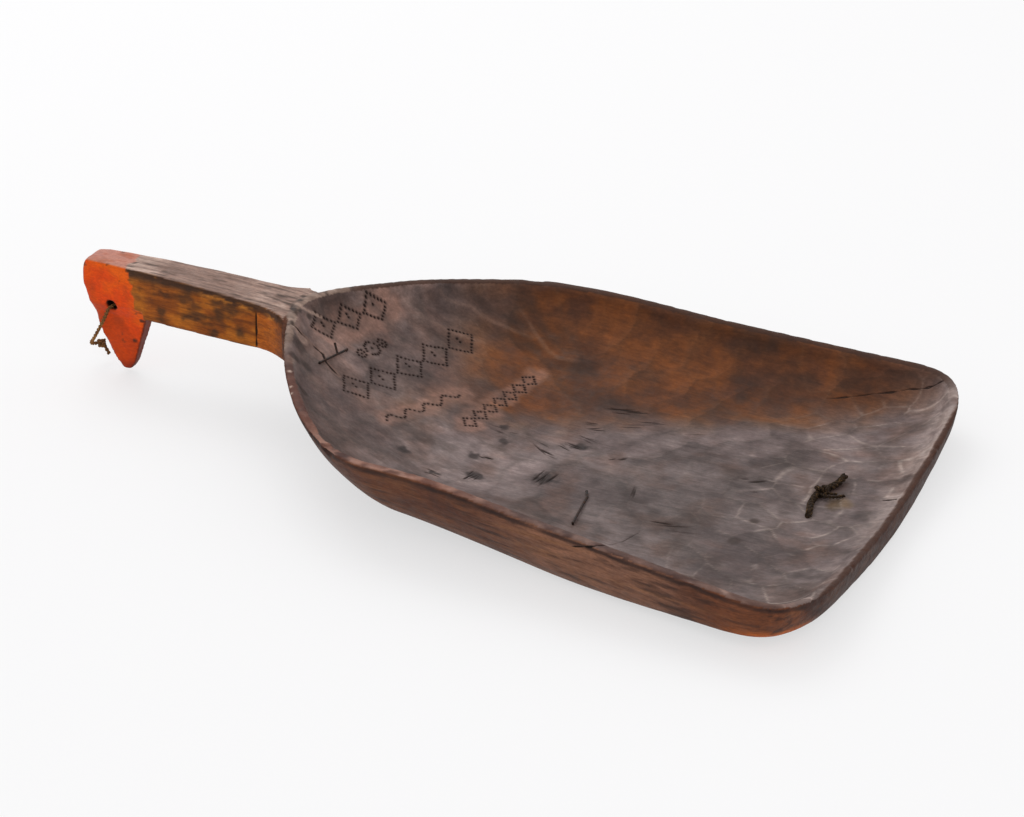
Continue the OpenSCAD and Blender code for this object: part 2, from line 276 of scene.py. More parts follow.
def bowl_rings(bowl):
    """Rings from the rest face up the outside, over the rim and down to the floor."""
    quarter = np.pi / 2
    rings = [(UNDER, bowl.under(REST_SHARE * s, 0)) for s in (0.25, 0.5, 0.75, 1)]
    rings += [(UNDER, bowl.under(0.86, 0.25)), (UNDER, bowl.under(0.93, 0.6))]
    rings += [(OUTER, bowl.outer(a)) for a in np.linspace(quarter, 0, 26)]
    rings += [(BAND, bowl.band(d, down)) for d, down in
              ((0.35, 0.35), (RIM_ROUND, 0), (RIM_W * 0.35, -0.1), (RIM_W * 0.65, -0.1),
               (RIM_W - RIM_ROUND, 0), (RIM_W - 0.35, 0.35))]
    rings += [(HOLLOW, bowl.dish(a)) for a in np.linspace(0, quarter, 46)]
    rings += [(HOLLOW, bowl.floor(s)) for s in (0.8, 0.6, 0.4, 0.2)]
    return rings


def closed(half_ring):
    """A whole ring from its half, by the mirror in y."""
    return np.concatenate([half_ring, half_ring[-2:0:-1] * (1, -1, 1)])


def lofted(rings, low_end, high_end):
    """Closed mesh through rings of equal count, with a point at each end."""
    m, count = len(rings[0]), len(rings)
    points = np.concatenate(rings + [[low_end], [high_end]])
    k = np.arange(m)
    nxt = (k + 1) % m
    faces = []
    for r in range(count - 1):
        faces += np.c_[r * m + k, r * m + nxt, (r + 1) * m + nxt, (r + 1) * m + k].tolist()
    faces += np.c_[nxt, k, np.full(m, count * m)].tolist()
    top = (count - 1) * m
    faces += np.c_[top + k, top + nxt, np.full(m, count * m + 1)].tolist()
    return points, faces


def new_object(name, points, faces, scale=MM):
    mesh = bpy.data.meshes.new(name)
    mesh.from_pydata((np.asarray(points) * scale).tolist(), [], faces)
    mesh.update()
    obj = bpy.data.objects.new(name, mesh)
    scene.collection.objects.link(obj)
    return obj


# ---- handle
def prism(name, outline, axis, low, high):
    """Outline in the other two axes, extruded from low to high along axis."""
    order = {"x": (2, 0, 1), "y": (0, 2, 1), "z": (0, 1, 2)}[axis]
    n = len(outline)
    flat = [(p[0], p[1], h) for h in (low, high) for p in outline]
    points = [[p[o] for o in order] for p in flat]
    faces = [list(range(n - 1, -1, -1)), list(range(n, 2 * n))]
    faces += [[k, (k + 1) % n, n + (k + 1) % n, n + k] for k in range(n)]
    obj = new_object(name, points, faces)
    work = bmesh.new()
    work.from_mesh(obj.data)
    bmesh.ops.recalc_face_normals(work, faces=work.faces)
    work.to_mesh(obj.data)
    work.free()
    return obj


def boolean(target, tool, kind):
    mod = target.modifiers.new(kind, "BOOLEAN")
    mod.operation, mod.object, mod.solver = kind, tool, "EXACT"
    bake_down(target)
    bpy.data.objects.remove(tool)


def bake_down(obj):
    """Applies the object's modifiers."""
    ready = obj.evaluated_get(bpy.context.evaluated_depsgraph_get())
    mesh = bpy.data.meshes.new_from_object(ready)
    obj.modifiers.clear()
    obj.data = mesh


def handle_solid(bowl):
    """Side outline, plan and hook taper of the handle, met in one solid."""
    hook_x, tip_x = BUTT_X + HOOK_L, BUTT_X + HOOK_TIP_IN
    mid_x, under_z = BUTT_X + HOOK_L + 14, GRIP_TOP_Z - GRIP_H
    low = np.array([tip_x - HOOK_TIP_W * 0.6, HOOK_TIP_Z + 3])
    high = np.array([BUTT_X, GRIP_TOP_Z - 9])
    edge = (high - low) / np.linalg.norm(high - low)
    outward = np.array([-edge[1], edge[0]]) * BUTT_BULGE
    butt = [tuple(low + (high - low) * u + outward * 4 * u * (1 - u))
            for u in np.linspace(0, 1, 13)]
    top = [(BUTT_X + 0.8, GRIP_TOP_Z - 4), (BUTT_X + 4, GRIP_TOP_Z), (mid_x, GRIP_TOP_Z),
           (mid_x + 0.45 * (BACK_X - mid_x), GRIP_TOP_Z + 0.35 * (ROOT_TOP_Z - GRIP_TOP_Z)),
           (BACK_X, ROOT_TOP_Z), (BACK_X + RIM_W / 2, ROOT_TOP_Z - RIM_ROUND)]
    root_in, root_deep = (bowl.dish(math.radians(a))[0] for a in (15, 30))
    root = [(root_in[0] - 4, root_in[2] - 4), (root_deep[0] - 6, root_deep[2] - 5),
            (root_deep[0] - 10, ROOT_TOP_Z - ROOT_H), (BACK_X, ROOT_TOP_Z - ROOT_H)]
    hook = [(hook_x + 4, under_z), (hook_x, under_z - 2),
            (tip_x + HOOK_TIP_W * 0.75, HOOK_TIP_Z + 6),
            (tip_x + HOOK_TIP_W * 0.35, HOOK_TIP_Z + 1),
            (tip_x - HOOK_TIP_W * 0.1, HOOK_TIP_Z), (tip_x - HOOK_TIP_W * 0.4, HOOK_TIP_Z + 0.8)]
    solid = prism("handle", butt + top + root + hook, "y", -FLARE_W, FLARE_W)

    side = [(BUTT_X + BUTT_ROUND * (1 - math.cos(a)), BUTT_W / 2 - BUTT_ROUND * (1 - math.sin(a)))
            for a in np.linspace(0, np.pi / 2, 6)]
    side.append((mid_x, GRIP_W / 2))
    for u in np.linspace(0, 1, 9):
        x = BACK_X - FLARE_L + u * (FLARE_L + 6)
        side.append((x, (ROOT_W + (FLARE_W - ROOT_W) * u * u) / 2))
    side.append((root_deep[0], FLARE_W / 2))
    plan = side + [(x, -y) for x, y in reversed(side)]
    boolean(solid, prism("plan", plan, "z", 0, 2 * GRIP_TOP_Z), "INTERSECT")
    chamfer_top(solid)

    neck_z, taper_z, above = under_z - 5, under_z + 6, 200
    right = [(HOOK_TIP_T / 2, -1), (HOOK_TIP_T / 2, HOOK_TIP_Z - 1), (HOOK_NECK_T / 2, neck_z),
             (BUTT_W / 2 + 1, taper_z), (BUTT_W, taper_z + 4), (BUTT_W, above)]
    front = right + [(-y, z) for y, z in reversed(right)]
    cut = prism("taper", front, "x", BUTT_X - 5, hook_x + 5)
    rest = prism("rest", [(-FLARE_W, 0), (FLARE_W, 0), (FLARE_W, above), (-FLARE_W, above)],
                 "x", hook_x + 1, hook_x + HANDLE_L)
    boolean(cut, rest, "UNION")
    boolean(solid, cut, "INTERSECT")
    bore = [(BUTT_X + HOLE_IN + HOLE_D / 2 * math.cos(a), HOLE_Z + HOLE_D / 2 * math.sin(a))
            for a in np.linspace(0, 2 * np.pi, 24, endpoint=False)]
    boolean(solid, prism("bore", bore, "y", -40, 40), "DIFFERENCE")
    return solid


def chamfer_top(solid):
    """Takes the sharp corner off both long top edges of the handle."""
    work = bmesh.new()
    work.from_mesh(solid.data)
    edges = [e for e in work.edges if len(e.link_faces) == 2 and
             any(f.normal.z > 0.9 for f in e.link_faces) and
             any(abs(f.normal.y) > 0.6 for f in e.link_faces)]
    bmesh.ops.bevel(work, geom=edges, offset=ARRIS * MM, segments=2, profile=0.5,
                    affect="EDGES", clamp_overlap=True)
    work.to_mesh(solid.data)
    work.free()


# ---- mesh arrays
def read_rows(items, name, width, kind=np.float32):
    rows = np.empty(len(items) * width, kind)
    items.foreach_get(name, rows)
    return rows.reshape(-1, width)


def read_points(mesh):
    return read_rows(mesh.vertices, "co", 3).astype(float) / MM


def write_points(mesh, p):
    mesh.vertices.foreach_set("co", (p * MM).astype(np.float32).ravel())
    mesh.update()


def edges_of(mesh):
    return read_rows(mesh.edges, "vertices", 2, np.int32)


def neighbour_mean(values, e, n):
    """Mean over each vertex's neighbours."""
    a, b = np.r_[e[:, 0], e[:, 1]], np.r_[e[:, 1], e[:, 0]]
    count = np.maximum(np.bincount(a, minlength=n), 1)
    cols = [np.bincount(a, weights=values[b, k], minlength=n) / count
            for k in range(values.shape[1])]
    return np.stack(cols, 1)


def smoothed(p, e, rounds, keep=0.45):
    """Taubin smoothing, which rounds corners and keeps the volume."""
    for _ in range(rounds):
        p = p + keep * (neighbour_mean(p, e, len(p)) - p)
        p = p - (keep + 0.03) * (neighbour_mean(p, e, len(p)) - p)
    return p


def point_normals(mesh):
    return read_rows(mesh.vertex_normals, "vector", 3).astype(float)


# ---- carved marks
# Cracks: polyline, half width, depth
BACK_CRACK = [(-125, -28, 82), (-116, -23, 71), (-105, -22, 61), (-100, -27, 58), (-89, -30, 51.5)]
CORNER_CRACK = [(208, 139), (237, 152), (262, 161), (290, 164)]
LIP_CRACK = [(308, 16), (300, 19), (290, 20)]
RIM_CRACK = [(146, -162.5, 43), (156, -165, 46), (163, -164, 48), (168, -160, 48)]
FLOOR_CRACK = [(145, -103), (152, -92), (158, -77)]
SCRIBE = [(-160, -18, 81), (-161, -18, 52)]
SCRIBE_FAR = [(-158, 18, 81), (-159.5, 18, 52)]
CRACKS = [
    (BACK_CRACK, 1.0, 0.9), (CORNER_CRACK, 0.42, 0.55), (LIP_CRACK, 0.7, 0.9),
    (RIM_CRACK, 0.7, 1.0), (FLOOR_CRACK, 0.8, 0.35), (SCRIBE, 0.6, 0.8), (SCRIBE_FAR, 0.6, 0.7)]

# Back root: a painted highlight along a ridge across the rim, and painted shade in the hollows
# beside it
ROOT_RIDGE = [(-136, -3, 85), (-130, -4, 84), (-127, 2, 78), (-122, 7, 73)]
ROOT_DARKS = [((-133, -11, 84), 3.2), ((-129, -9, 84), 3), ((-126, -3, 77), 3.2),
              ((-136, 3, 85), 2.6), ((-137, 10, 84.5), 2.8)]
# Pale specks on the near rim
FLECKS = [(-93, -91, 70), (-89, -97, 69), (-102, -76, 73)]
# Chips out of the rim: place, size, depth
CHIPS = [
    ((-52, -132, 63), 9, 1.6), ((-38, -142, 61), 7, 1.8), ((-65, -122, 65), 5, 1.0),
    ((24, -155, 61), 6, 0.9), ((230, -171, 41), 6, 1.0), ((120, 163, 47), 7, 1.2),
    ((-110, 45, 76), 6, 0.9), ((-20, 146, 61), 8, 0.9), ((304, 75, 26), 5, 0.8)]
# Worn and stained places of the hollow: plan place, size, colour
WORN, STAIN, DEEP_STAIN = (150, 126, 114), (58, 44, 40), (50, 38, 34)
PATCHES = [
    ((-119, -29), 5, (158, 132, 120)), ((-123, -27), 4, WORN), ((-108, -63), 6, WORN),
    ((-114, -39), 6, STAIN), ((-109, -56), 5, STAIN), ((-103, -50), 5, (52, 40, 36)),
    ((-93, -83), 4, DEEP_STAIN), ((-89, -81), 4, DEEP_STAIN), ((264, 11), 11, (106, 86, 64)),
    ((217, -62), 5, (58, 46, 42)), ((220, -32), 5, (58, 46, 42))]
# Pale pads worn under the ornament: plan line and half width
PADS = [((-46, -42), (-25, 28), 12), ((-5, -4), (8, 82), 12), ((-112, 0), (-98, 60), 15)]
# Dark stains on the handle's flank, and dabs on the paint: x, z (and size)
CRUST_STAINS = [((-222, 61), 5), ((-175, 60), 6), ((-240, 62), 4), ((-196, 55), 4)]
PAINT_DABS = [(-262, 47), (-270, 29)]
SCRIBE_X = -160
# Where the paint ends on the flank
PAINT_EDGE_Z = [0, 46, 48, 56, 59, 65, 71, 80, 89]
PAINT_EDGE_X = [-240, -253, -256, -259, -263, -264, -265, -266, -270]

# Long soft ridges left between gouge strokes
RIDGES = [
    [(-78, 101, 67), (-70, 100, 56), (-56, 109, 49), (-39, 110, 41), (-20, 114, 34), (4, 116, 30)],
    [(-27, 130, 46), (-15, 124, 38), (-5, 117, 32), (6, 110, 27), (17, 106, 24), (40, 108, 24)],
    [(-88, 70, 58), (-76, 77, 50), (-65, 79, 45), (-50, 84, 38), (-30, 92, 32)]]

# Punched ornament. Rows: motif, start and end in plan, height, count
DOT_STEP, DOT_JITTER, DOT_R, DOT_GAP = 2.6, 0.16, 1.05, 1.9
ORNAMENT = [
    ("lozenge", (-122, -9), (-99, 63), 15, 3),
    ("rosette", (-92, 4), (-85, 34), 11, 1),
    ("lozenge", (-80, -42), (-45, 92), 22, 5),
    ("wave", (-46, -42), (-25, 28), 6.5, 4),
    ("lozenge", (-5, -4), (8, 82), 11, 7)]


def ornament_dots():
    """Plan places of the punched dots: chains of lozenges, a row of rosettes and a wave."""
    dots, rng = [], np.random.default_rng(19)
    for kind, start, end, high, count in ORNAMENT:
        a, b = np.array(start, float), np.array(end, float)
        run = np.linalg.norm(b - a)
        lengthways, upwards = (b - a) / run, np.array([-(b - a)[1], (b - a)[0]]) / run
        if upwards[0] > 0:
            upwards = -upwards
        lines = []
        cell = run / count
        for k in range(count):
            s0, s1 = k * cell, (k + 1) * cell
            mid = (s0 + s1) / 2
            if kind == "lozenge":
                gap = 0.06 * cell
                corners = [(s0 + gap, 0), (mid, high / 2), (s1 - gap, 0), (mid, -high / 2)]
                lines += [(corners[j], corners[(j + 1) % 4]) for j in range(4)]
                lines += [((mid, high / 7), (mid, -high / 7))] if high > 12 else []
            if kind == "wave":
                turn = [(s0 + cell * u, high / 2 * math.sin(2 * math.pi * u))
                        for u in np.linspace(0, 1, 9)]
                lines += list(zip(turn[:-1], turn[1:]))
            if kind == "rosette":
                for q in (mid - run * 0.36, mid, mid + run * 0.36):
                    wide = high / 2 if q == mid else high / 3.6
                    ring = [(q + wide * math.cos(t), wide * math.sin(t))
                            for t in np.linspace(0, 2 * math.pi, 9)]
                    lines += list(zip(ring[:-1], ring[1:]))
                    lines += [((q, 0), (q + 0.01, 0))]
        for p, q in lines:
            p, q = np.array(p), np.array(q)
            steps = max(int(round(np.linalg.norm(q - p) / DOT_STEP)), 1)
            for j in range(steps):
                s, h = p + (q - p) * j / steps
                dots.append(a + lengthways * s + upwards * h + rng.normal(0, DOT_JITTER, 2))
    kept = []
    for d in dots:
        if all(np.linalg.norm(d - k) > DOT_GAP for k in kept):
            kept.append(d)
    return np.array(kept)


# Clusters of short gouge nicks in the floor: centre, way they run, how many, spread, length
NICKS = [
    ((62, -2), (0.95, -0.33), 6, (12, 11), 16), ((74, 20), (0.95, -0.33), 6, (12, 9), 16),
    ((71, -38), (0.2, 1), 7, (6, 6), 13), ((80, 44), (1, 0.35), 4, (12, 8), 13),
    ((90, 70), (1, 0.4), 5, (22, 5), 18), ((120, 60), (1, 0.45), 4, (26, 6), 20),
    ((20, 8), (1, 0.1), 4, (7, 9), 8), ((20, -33), (1, 0.2), 3, (8, 5), 7),
    ((29, -57), (0.2, 1), 5, (7, 6), 11), ((6, -73), (1, 0.2), 3, (5, 4), 7),
    ((106, 6), (0.8, 0.6), 3, (5, 4), 8), ((133, -29), (-0.3, 1), 2, (3, 3), 14),
    ((174, -62), (1, 0.35), 3, (12, 4), 22), ((190, 20), (1, 0.4), 3, (30, 18), 10)]
# Dark smudges pressed into the floor: plan place, reach along x and y
SMUDGES = [((71, -38), 9, 10), ((24, -5), 5, 4), ((18, 12), 4, 4), ((-22, -63), 5, 4),
           ((16, -34), 5, 5), ((28, -56), 6, 5), ((6, -73), 5, 3), ((74, 12), 6, 5)]


def nick_strokes(rng):
    strokes = []
    for centre, way, count, spread, long in NICKS:
        way = np.array(way, float) / np.hypot(*way)
        for _ in range(count):
            at = np.array(centre) + rng.uniform(-1, 1, 2) * spread
            turn = rng.normal(0, 0.12)
            d = np.array([way[0] - turn * way[1], way[1] + turn * way[0]])
            half = d * long * rng.uniform(0.35, 0.7)
            strokes.append((at - half, at + half, rng.uniform(0.6, 1.5), rng.uniform(0.28, 0.6)))
    return strokes


CELL_STEP_X, CELL_STEP_Y = 27, 23
CELL_LONG, CELL_WIDE, CELL_REACH = 24, 14.5, 58


def scallops(p, rng):
    """Shallow overlapping gouge cuts: height, nearness to a ridge, and each cut's random tone plus
    a painted shade that lights one side of the cut and darkens the other.
    """
    seeds, way = [], []
    for x in np.arange(-150, 320, CELL_STEP_X):
        for y in np.arange(-190, 200, CELL_STEP_Y):
            seeds.append((x + rng.uniform(-11, 11), y + rng.uniform(-9, 9)))
            to_mid = CENTRE - np.array(seeds[-1])
            way.append(math.atan2(to_mid[1], to_mid[0]) + rng.normal(0, 0.35))
    seeds, way = np.array(seeds), np.array(way)
    drop = rng.uniform(0, 0.16, len(seeds))
    tones = rng.normal(0, 1, len(seeds))
    best, second, owner = np.full(len(p), 1e9), np.full(len(p), 1e9), np.zeros(len(p), int)
    cut_side_shade = np.zeros(len(p))
    order = np.argsort(p[:, 0])
    xs = p[order, 0]
    for k in range(len(seeds)):
        low, high = np.searchsorted(xs, (seeds[k, 0] - CELL_REACH, seeds[k, 0] + CELL_REACH))
        near = order[low:high]
        near = near[np.abs(p[near, 1] - seeds[k, 1]) < CELL_REACH]
        d = p[near, :2] - seeds[k]
        c, s = math.cos(way[k]), math.sin(way[k])
        lengthways, across = d @ (c, s), d @ (-s, c)
        r = (lengthways / CELL_LONG) ** 2 + (across / CELL_WIDE) ** 2 - drop[k]
        b, q = best[near], second[near]
        owner[near] = np.where(r < b, k, owner[near])
        cut_side_shade[near] = np.where(r < b, across / CELL_WIDE, cut_side_shade[near])
        second[near] = np.minimum(np.maximum(b, r), q)
        best[near] = np.minimum(b, r)
    return best, second - best, 0.6 * tones[owner] + 0.9 * cut_side_shade


# ---- the wood
def scoop_base():
    """Smooth scoop: bowl and handle joined by a voxel remesh."""
    bowl = Bowl()
    rings = bowl_rings(bowl)
    points, faces = lofted([closed(r) for _, r in rings], [*CENTRE, 0], [*CENTRE, FLOOR_T])
    scoop = new_object("scoop_wood", points, [f[::-1] for f in faces])
    handle = handle_solid(bowl)
    union = bmesh.new()
    union.from_mesh(scoop.data)
    union.from_mesh(handle.data)
    bmesh.ops.recalc_face_normals(union, faces=union.faces)
    union.to_mesh(scoop.data)
    union.free()
    bpy.data.objects.remove(handle)
    mod = scoop.modifiers.new("remesh", "REMESH")
    mod.mode, mod.voxel_size, mod.adaptivity = "VOXEL", VOXEL * MM, 0
    bake_down(scoop)
    mesh = scoop.data
    p, e = read_points(mesh), edges_of(mesh)
    p = smoothed(p, e, SMOOTH_ROUNDS)
    write_points(mesh, soften_rim(p, e, bowl, point_normals(mesh)))
    return scoop, rings


def tree_of(points):
    tree = KDTree(len(points))
    for k, q in enumerate(points):
        tree.insert(q, k)
    tree.balance()
    return tree


def soften_rim(p, e, bowl, normal):
    """Wears the rim's inner corner round, least along the near side, and the butt's edges."""
    tree = tree_of(closed(bowl.band(RIM_ROUND, 0)).tolist())
    share = np.zeros(len(p))
    zone = np.flatnonzero((normal[:, 2] > -0.2) & (p[:, 2] > 12) & (p[:, 0] > BACK_X - 1))
    zone = zone[np.abs(np.hypot(*(p[zone, :2] - CENTRE).T)) > 120]
    for k in zone:
        share[k] = tree.find(p[k].tolist())[2]
    share = ease(1.6, 4.5, share) * ease(22, 12, share) * (share > 0)
    x, y, z = p.T
    near_side = ease(-70, -100, y) * ease(290, 270, x) * ease(-128, -112, x)
    share *= 0.5 * (1 - 0.85 * near_side)
    share += 0.28 * ease(-295, -303, x) * ease(76, 85, z)
    share += 0.35 * ease(-286, -292, x) * ease(38, 46, z) * ease(70, 62, z)
    for _ in range(SOFT_ROUNDS):
        p = p + share[:, None] * (neighbour_mean(p, e, len(p)) - p)
    return p


def refine(obj, near):
    """Splits the faces between the points that near() marks, twice."""
    work = bmesh.new()
    work.from_mesh(obj.data)
    for _ in range(2):
        work.verts.ensure_lookup_table()
        p = np.array([v.co for v in work.verts]) / MM
        pick = near(p)
        edges = [e for e in work.edges if pick[e.verts[0].index] and pick[e.verts[1].index]]
        bmesh.ops.subdivide_edges(work, edges=edges, cuts=1, use_grid_fill=True)
        work.verts.index_update()
    work.to_mesh(obj.data)
    work.free()


def surface_labels(p, rings):
    """For each point: its region, its place around the rim, 0 to 1, and how far off it lies."""
    marks, kinds, places = [], [], []
    around = Bowl().place
    for kind, ring in rings:
        for side in (1, -1):
            for j in range(0, len(ring), 2):
                marks.append((ring[j][0], side * ring[j][1], ring[j][2]))
                kinds.append(kind)
                places.append(around[j])
    tree = tree_of(marks)
    found = [tree.find(q) for q in p.tolist()]
    index = np.array([f[1] for f in found])
    return np.array(kinds)[index], np.array(places)[index], np.array([f[2] for f in found])


def off_dots(dots, p, top):
    """Plan distance to the nearest punched dot, for the points of the hollow."""
    x, y, _ = p.T
    far = np.full(len(p), 99.0)
    for k in np.flatnonzero((x > -140) & (x < 25) & (y > -70) & (y < 115) & top):
        far[k] = dots.find((x[k], y[k], 0))[2]
    return far


def near_marks(p, dots, strokes):
    """Whether each point lies near a dot, a crack or a nick."""
    inside = p[:, 2] > FLOOR_T - 1.5
    near = off_dots(dots, p, inside & (p[:, 2] < ROOT_TOP_Z - 0.8)) < FINE_REACH
    for line, wide, _ in CRACKS:
        near |= (off_line(p, line)[0] < wide + FINE_REACH) & (inside | (len(line[0]) == 3))
    for a, b, wide, _ in strokes:
        near |= inside & (off_line(p[:, :2], [a, b])[0] < wide + 1.3)
    return near


def surface_move(p, kind, hollow, rise):
    """How far the carved surface stands proud of the smooth one."""
    _, y, z = p.T
    inner = hollow.astype(float)
    deep_part = inner * ease(2, 14, (1 - np.abs(y) / 175) * 60)
    move = deep_part * (0.75 * np.clip(rise, 0, 1.2) - 0.35)
    move += inner * 0.25 * clouds(p, (60, 18, 18), 5)
    outside = (kind == OUTER) | (kind == UNDER)
    move += outside * ease(3, 8, z) * (0.35 * clouds(p, (70, 22, 14), 9) - 0.1)
    move += (kind == BAND) * 0.14 * clouds(p, (9, 9, 9), 12, 2)
    move += (kind == HANDLE) * 0.28 * clouds(p, (26, 7, 7), 15)
    for line in RIDGES:
        d, t = off_line(p, line)
        move += inner * 0.8 * np.exp(-(d / 4.5) ** 2) * ease(0, 0.15, t) * ease(1, 0.8, t)
        move -= inner * 0.9 * np.exp(-((d - 9) / 6) ** 2) * ease(0, 0.15, t)
    for at, size, depth in CHIPS:
        d = np.linalg.norm((p - at) / (1.6, 1.6, 0.8), axis=1) + 1.5 * noise(p, 4, 31)
        move -= (kind != HANDLE) * depth * ease(size, size * 0.4, d)
    return move


def cut_depth(p, hollow, off, strokes):
    """How deep the cracks, nicks and dots are cut."""
    cut = np.zeros(len(p))
    wander = 0.5 * noise(p, 5, 41)
    for line, wide, deep in CRACKS:
        d, t = off_line(p, line)
        ends = ease(0, 0.12, t) * ease(1, 0.9, t)
        here = hollow | (len(line[0]) == 3)
        groove = np.exp(-((d + wander) / wide) ** 2)
        cut = np.maximum(cut, here * deep * groove * (0.4 + 0.6 * ends))
    for a, b, wide, deep in strokes:
        near = hollow & (np.abs(p[:, :2] - (a + b) / 2).max(1) < 30)
        d, t = off_line(p[near][:, :2], [a, b])
        nick = deep * ease(wide, wide * 0.3, d) * (0.3 + 0.7 * np.sin(np.pi * t))
        cut[near] = np.maximum(cut[near], nick)
    punch = 0.9 * ease(DOT_R, DOT_R * 0.35, off + 0.2 * noise(p, 2.3, 61))
    return np.maximum(cut, punch)


def carve(obj, rings):
    """Cuts the marks into the wood and paints its worn colours, with painted light and shade in
    places, as point data.
    """
    dots = tree_of([(x, y, 0) for x, y in ornament_dots()])
    strokes = nick_strokes(np.random.default_rng(7))
    refine(obj, lambda p: near_marks(p, dots, strokes))
    mesh = obj.data
    p, normal = read_points(mesh), point_normals(mesh)
    kind, place, away = surface_labels(p, rings)
    kind = np.where((kind == UNDER) & (normal[:, 2] > 0.2), HOLLOW, kind)
    kind = np.where((kind == HOLLOW) & (normal[:, 2] < -0.5), UNDER, kind)
    handle = (p[:, 0] < BACK_X + 3) & ((away > 1.6) | (p[:, 0] < BACK_X - 3))
    hollow = (kind == HOLLOW) & ~handle & (normal[:, 2] > -0.1)
    kind = np.where(handle, HANDLE, kind)

    rise, ridge, cell = scallops(p, np.random.default_rng(3))
    off = off_dots(dots, p, hollow)
    cut = cut_depth(p, hollow, off, strokes)
    new = p + normal * (surface_move(p, kind, hollow, rise) - cut)[:, None]
    low, high = (np.array(corner) / MM for corner in cad_box)
    write_points(mesh, np.clip(new, low + 0.01, high - 0.01))
    paint_points(mesh, p, normal, kind, place, hollow, rise, ridge, cell, cut, off)


def blend(rows, *coats):
    """Rows of colours under coats laid in turn: each a colour and its share for each row."""
    for colour, share in coats:
        rows = mix(rows, np.array([colour], float), share)
    return rows


def off_plane(a, b, u, v):
    """Distance to the left of the line from a to b, for points u, v."""
    d = np.array(b, float) - a
    d = d / np.hypot(*d)
    return d[0] * (v - a[1]) - d[1] * (u - a[0])


def hollow_colours(p, rise, ridge, cell, fields):
    """Grey worn floor, warm far wall, pale pads under the dots, light edge at the lip, and painted
    highlights and shade on the ridges and gouge cuts.
    """
    x, y, z = p.T
    patch, small, fine, speck = fields
    grey = mix((98, 85, 84), (134, 120, 118), ease(-0.7, 0.8, patch + 0.5 * small))
    grey = blend(grey, ((62, 52, 50), 0.6 * ease(0.15, 0.9, clouds(p, (26, 20, 20), 27))))
    back = ease(-10, -60, x)
    grey = grey * (1 - back[:, None] * (0.11, 0.15, 0.17))
    pink = mix((116, 89, 81), (140, 112, 102), ease(-0.5, 0.6, small))
    grey = mix(grey, pink, 0.55 * ease(0.2, 0.8, clouds(p, (34, 24, 24), 28) + 0.2 * back))
    grey = blend(grey,
        ((92, 64, 52), 0.4 * ease(0, 0.8, clouds(p, (30, 30, 20), 29)) * (1 - 0.5 * back)))
    wall = np.minimum(off_plane((11, -15), (209, 85), x, y) - 20,
                      off_plane((209, 85), (291, 163), x, y) + 4)
    warm = ease(-14, 34, wall + 15 * patch + 5 * small)
    warm *= ease(-60, 15, x + 0.2 * y + 18 * patch)
    rust = mix((80, 48, 32), (116, 66, 32), ease(-0.6, 0.7, patch + 0.5 * small))
    rust = blend(rust,
        ((58, 40, 33), 0.85 * ease(0.1, 0.9, clouds(p, (38, 24, 24), 33))),
        ((134, 76, 38), 0.3 * ease(0.35, 0.9, clouds(p, (24, 16, 12), 34))))
    rust = mix(rust, grey * (0.98, 0.86, 0.8), 0.6 * ease(225, 290, x + 10 * patch))
    lift = 0.13 * np.exp(-((x - 40) / 55) ** 2 - ((y + 8) / 50) ** 2)
    sink = 0.24 * np.exp(-((x - 172) / 70) ** 2 - ((y + 32) / 60) ** 2)
    grey = grey * (1 + lift - sink)[:, None]
    top = mix(grey, rust, warm)
    top = blend(top,
        ((78, 60, 55), 0.6 * ease(-66, -118, y) * ease(14, 38, z)),
        ((62, 44, 38), 0.5 * ease(-108, -122, x + 6 * small) * ease(-8, 8, y)))
    for a, b, wide in PADS:
        pad = ease(wide, wide * 0.4, off_line(p, [a, b])[0] + 5 * small)
        top = blend(top, ((156, 117, 102), 0.56 * pad))
    for (u, v), size, colour in PATCHES:
        spot = ease(size, size * 0.35, np.hypot(x - u, y - v) + 0.5 * size * small)
        top = blend(top, (colour, 0.75 * spot))
    # Each gouge cut's random tone, with painted shade that lights one side of the cut and darkens
    # the other.
    top = top * (1 + 0.075 * np.clip(cell, -1.6, 1.6) * (1 - 0.2 * warm))[:, None]
    # Painted highlight along each ridge's crest and painted shade beside it.
    for line in RIDGES:
        d, t = off_line(p, line)
        fade = ease(0, 0.12, t) * ease(1, 0.85, t)
        top = blend(top,
            ((150, 120, 106), 0.26 * fade * ease(2.6, 0.6, d + 0.8 * speck)),
            ((52, 38, 33), 0.32 * fade * np.exp(-((d - 8) / 4) ** 2)))
    for (u, v), wide, tall in SMUDGES:
        away = np.hypot((x - u) / wide, (y - v) / tall)
        spot = ease(1.25, 0.4, away + 0.45 * speck + 0.3 * small)
        top = blend(top, ((44, 36, 35), 0.74 * spot))
    # Pale crests between the gouge cuts, most toward the lip, are wear with a painted highlight;
    # the darker coat where each cut rises to its edge is painted shade.
    toward_lip = ease(160, 262, x)
    crest = ease(0.17, 0.0, ridge + 0.03 * speck) * (0.1 + 0.62 * toward_lip) * (1 - 0.8 * warm)
    top = blend(top,
        ((188, 172, 163), crest * ease(-0.45, 0.4, small + 0.6 * patch)),
        ((66, 56, 53), 0.35 * (1 - 0.6 * warm) * ease(0.25, 0.9, rise)))
    wear = ease(30, 7, LIP_X - x) * ease(-0.7, 0.5, small + 0.3)
    top = blend(top, ((184, 168, 162), 0.62 * wear * (0.35 + 0.65 * ease(-120, 40, y))))
    mottle = clouds(p, (6, 5, 5), 47, 2)
    return top * (1 + 0.08 * fine + 0.05 * speck + 0.07 * mottle)[:, None]


